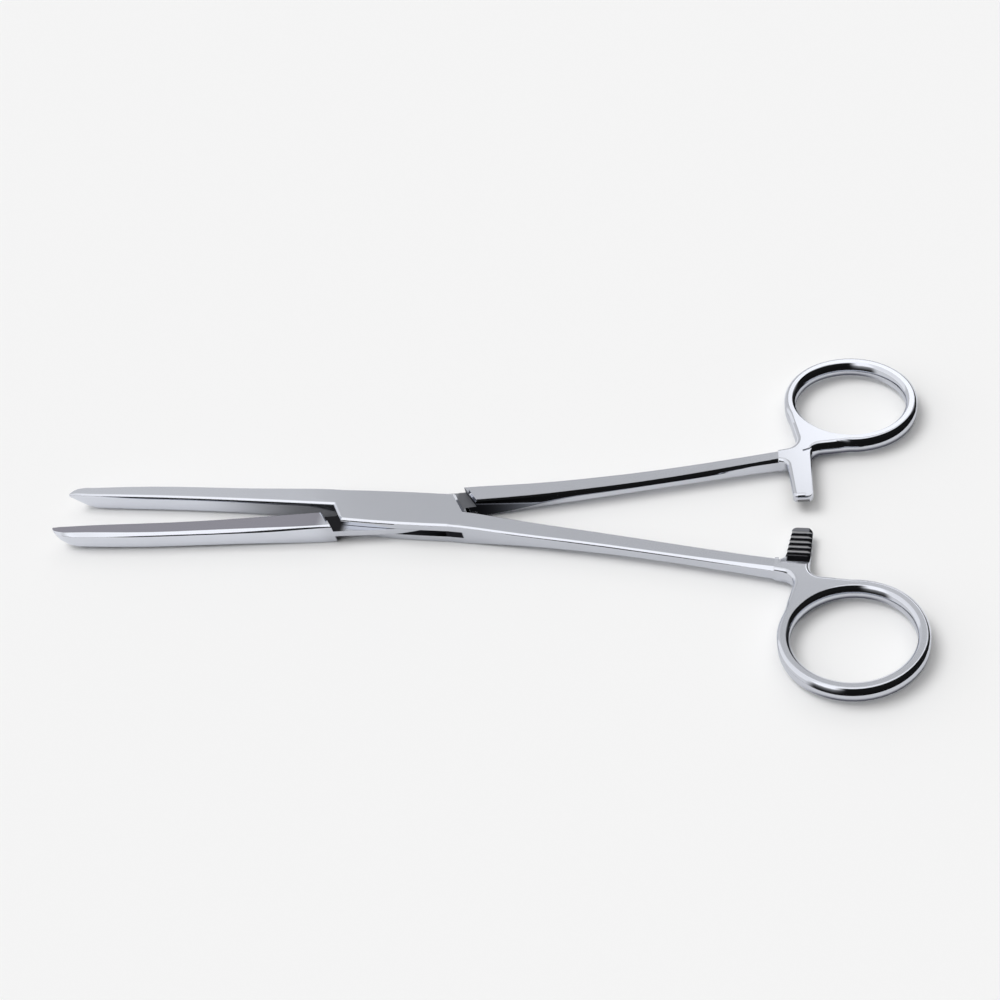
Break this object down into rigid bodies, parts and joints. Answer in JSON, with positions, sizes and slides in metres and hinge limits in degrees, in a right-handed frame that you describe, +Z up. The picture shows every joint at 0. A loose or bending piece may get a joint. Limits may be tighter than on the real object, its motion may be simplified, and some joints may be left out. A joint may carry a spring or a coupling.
{
  "type": "tissue holding forceps",
  "caption": "Slim box-lock tissue holding forceps with long straight jaws, ratchet bars and finger rings, opened a little.",
  "frame": {"origin": "on the rivet's axis, at the underside of the box", "axes": "+X along the forceps towards the finger rings, midway between the halves; +Z up along the rivet; the box half's jaw is on the +Y side"},
  "size_m": [0.2008, 0.0902, 0.006],
  "materials": {
    "forged_steel": "satin flats with polished edges and rings",
    "rivet_steel": "ground flush, satin"
  },
  "bodies": {
    "box_half": {"box_half": "forged_steel", "pivot_pin": "rivet_steel"},
    "tongue_half": {"tongue_half": "forged_steel"}
  },
  "joints": [
    {"name": "box_lock", "type": "hinge", "parent": "box_half", "child": "tongue_half", "pos_m": [0, 0, 0.003], "axis": [0, 0, 1], "range_deg": [-6.6, 83.4]}
  ]
}
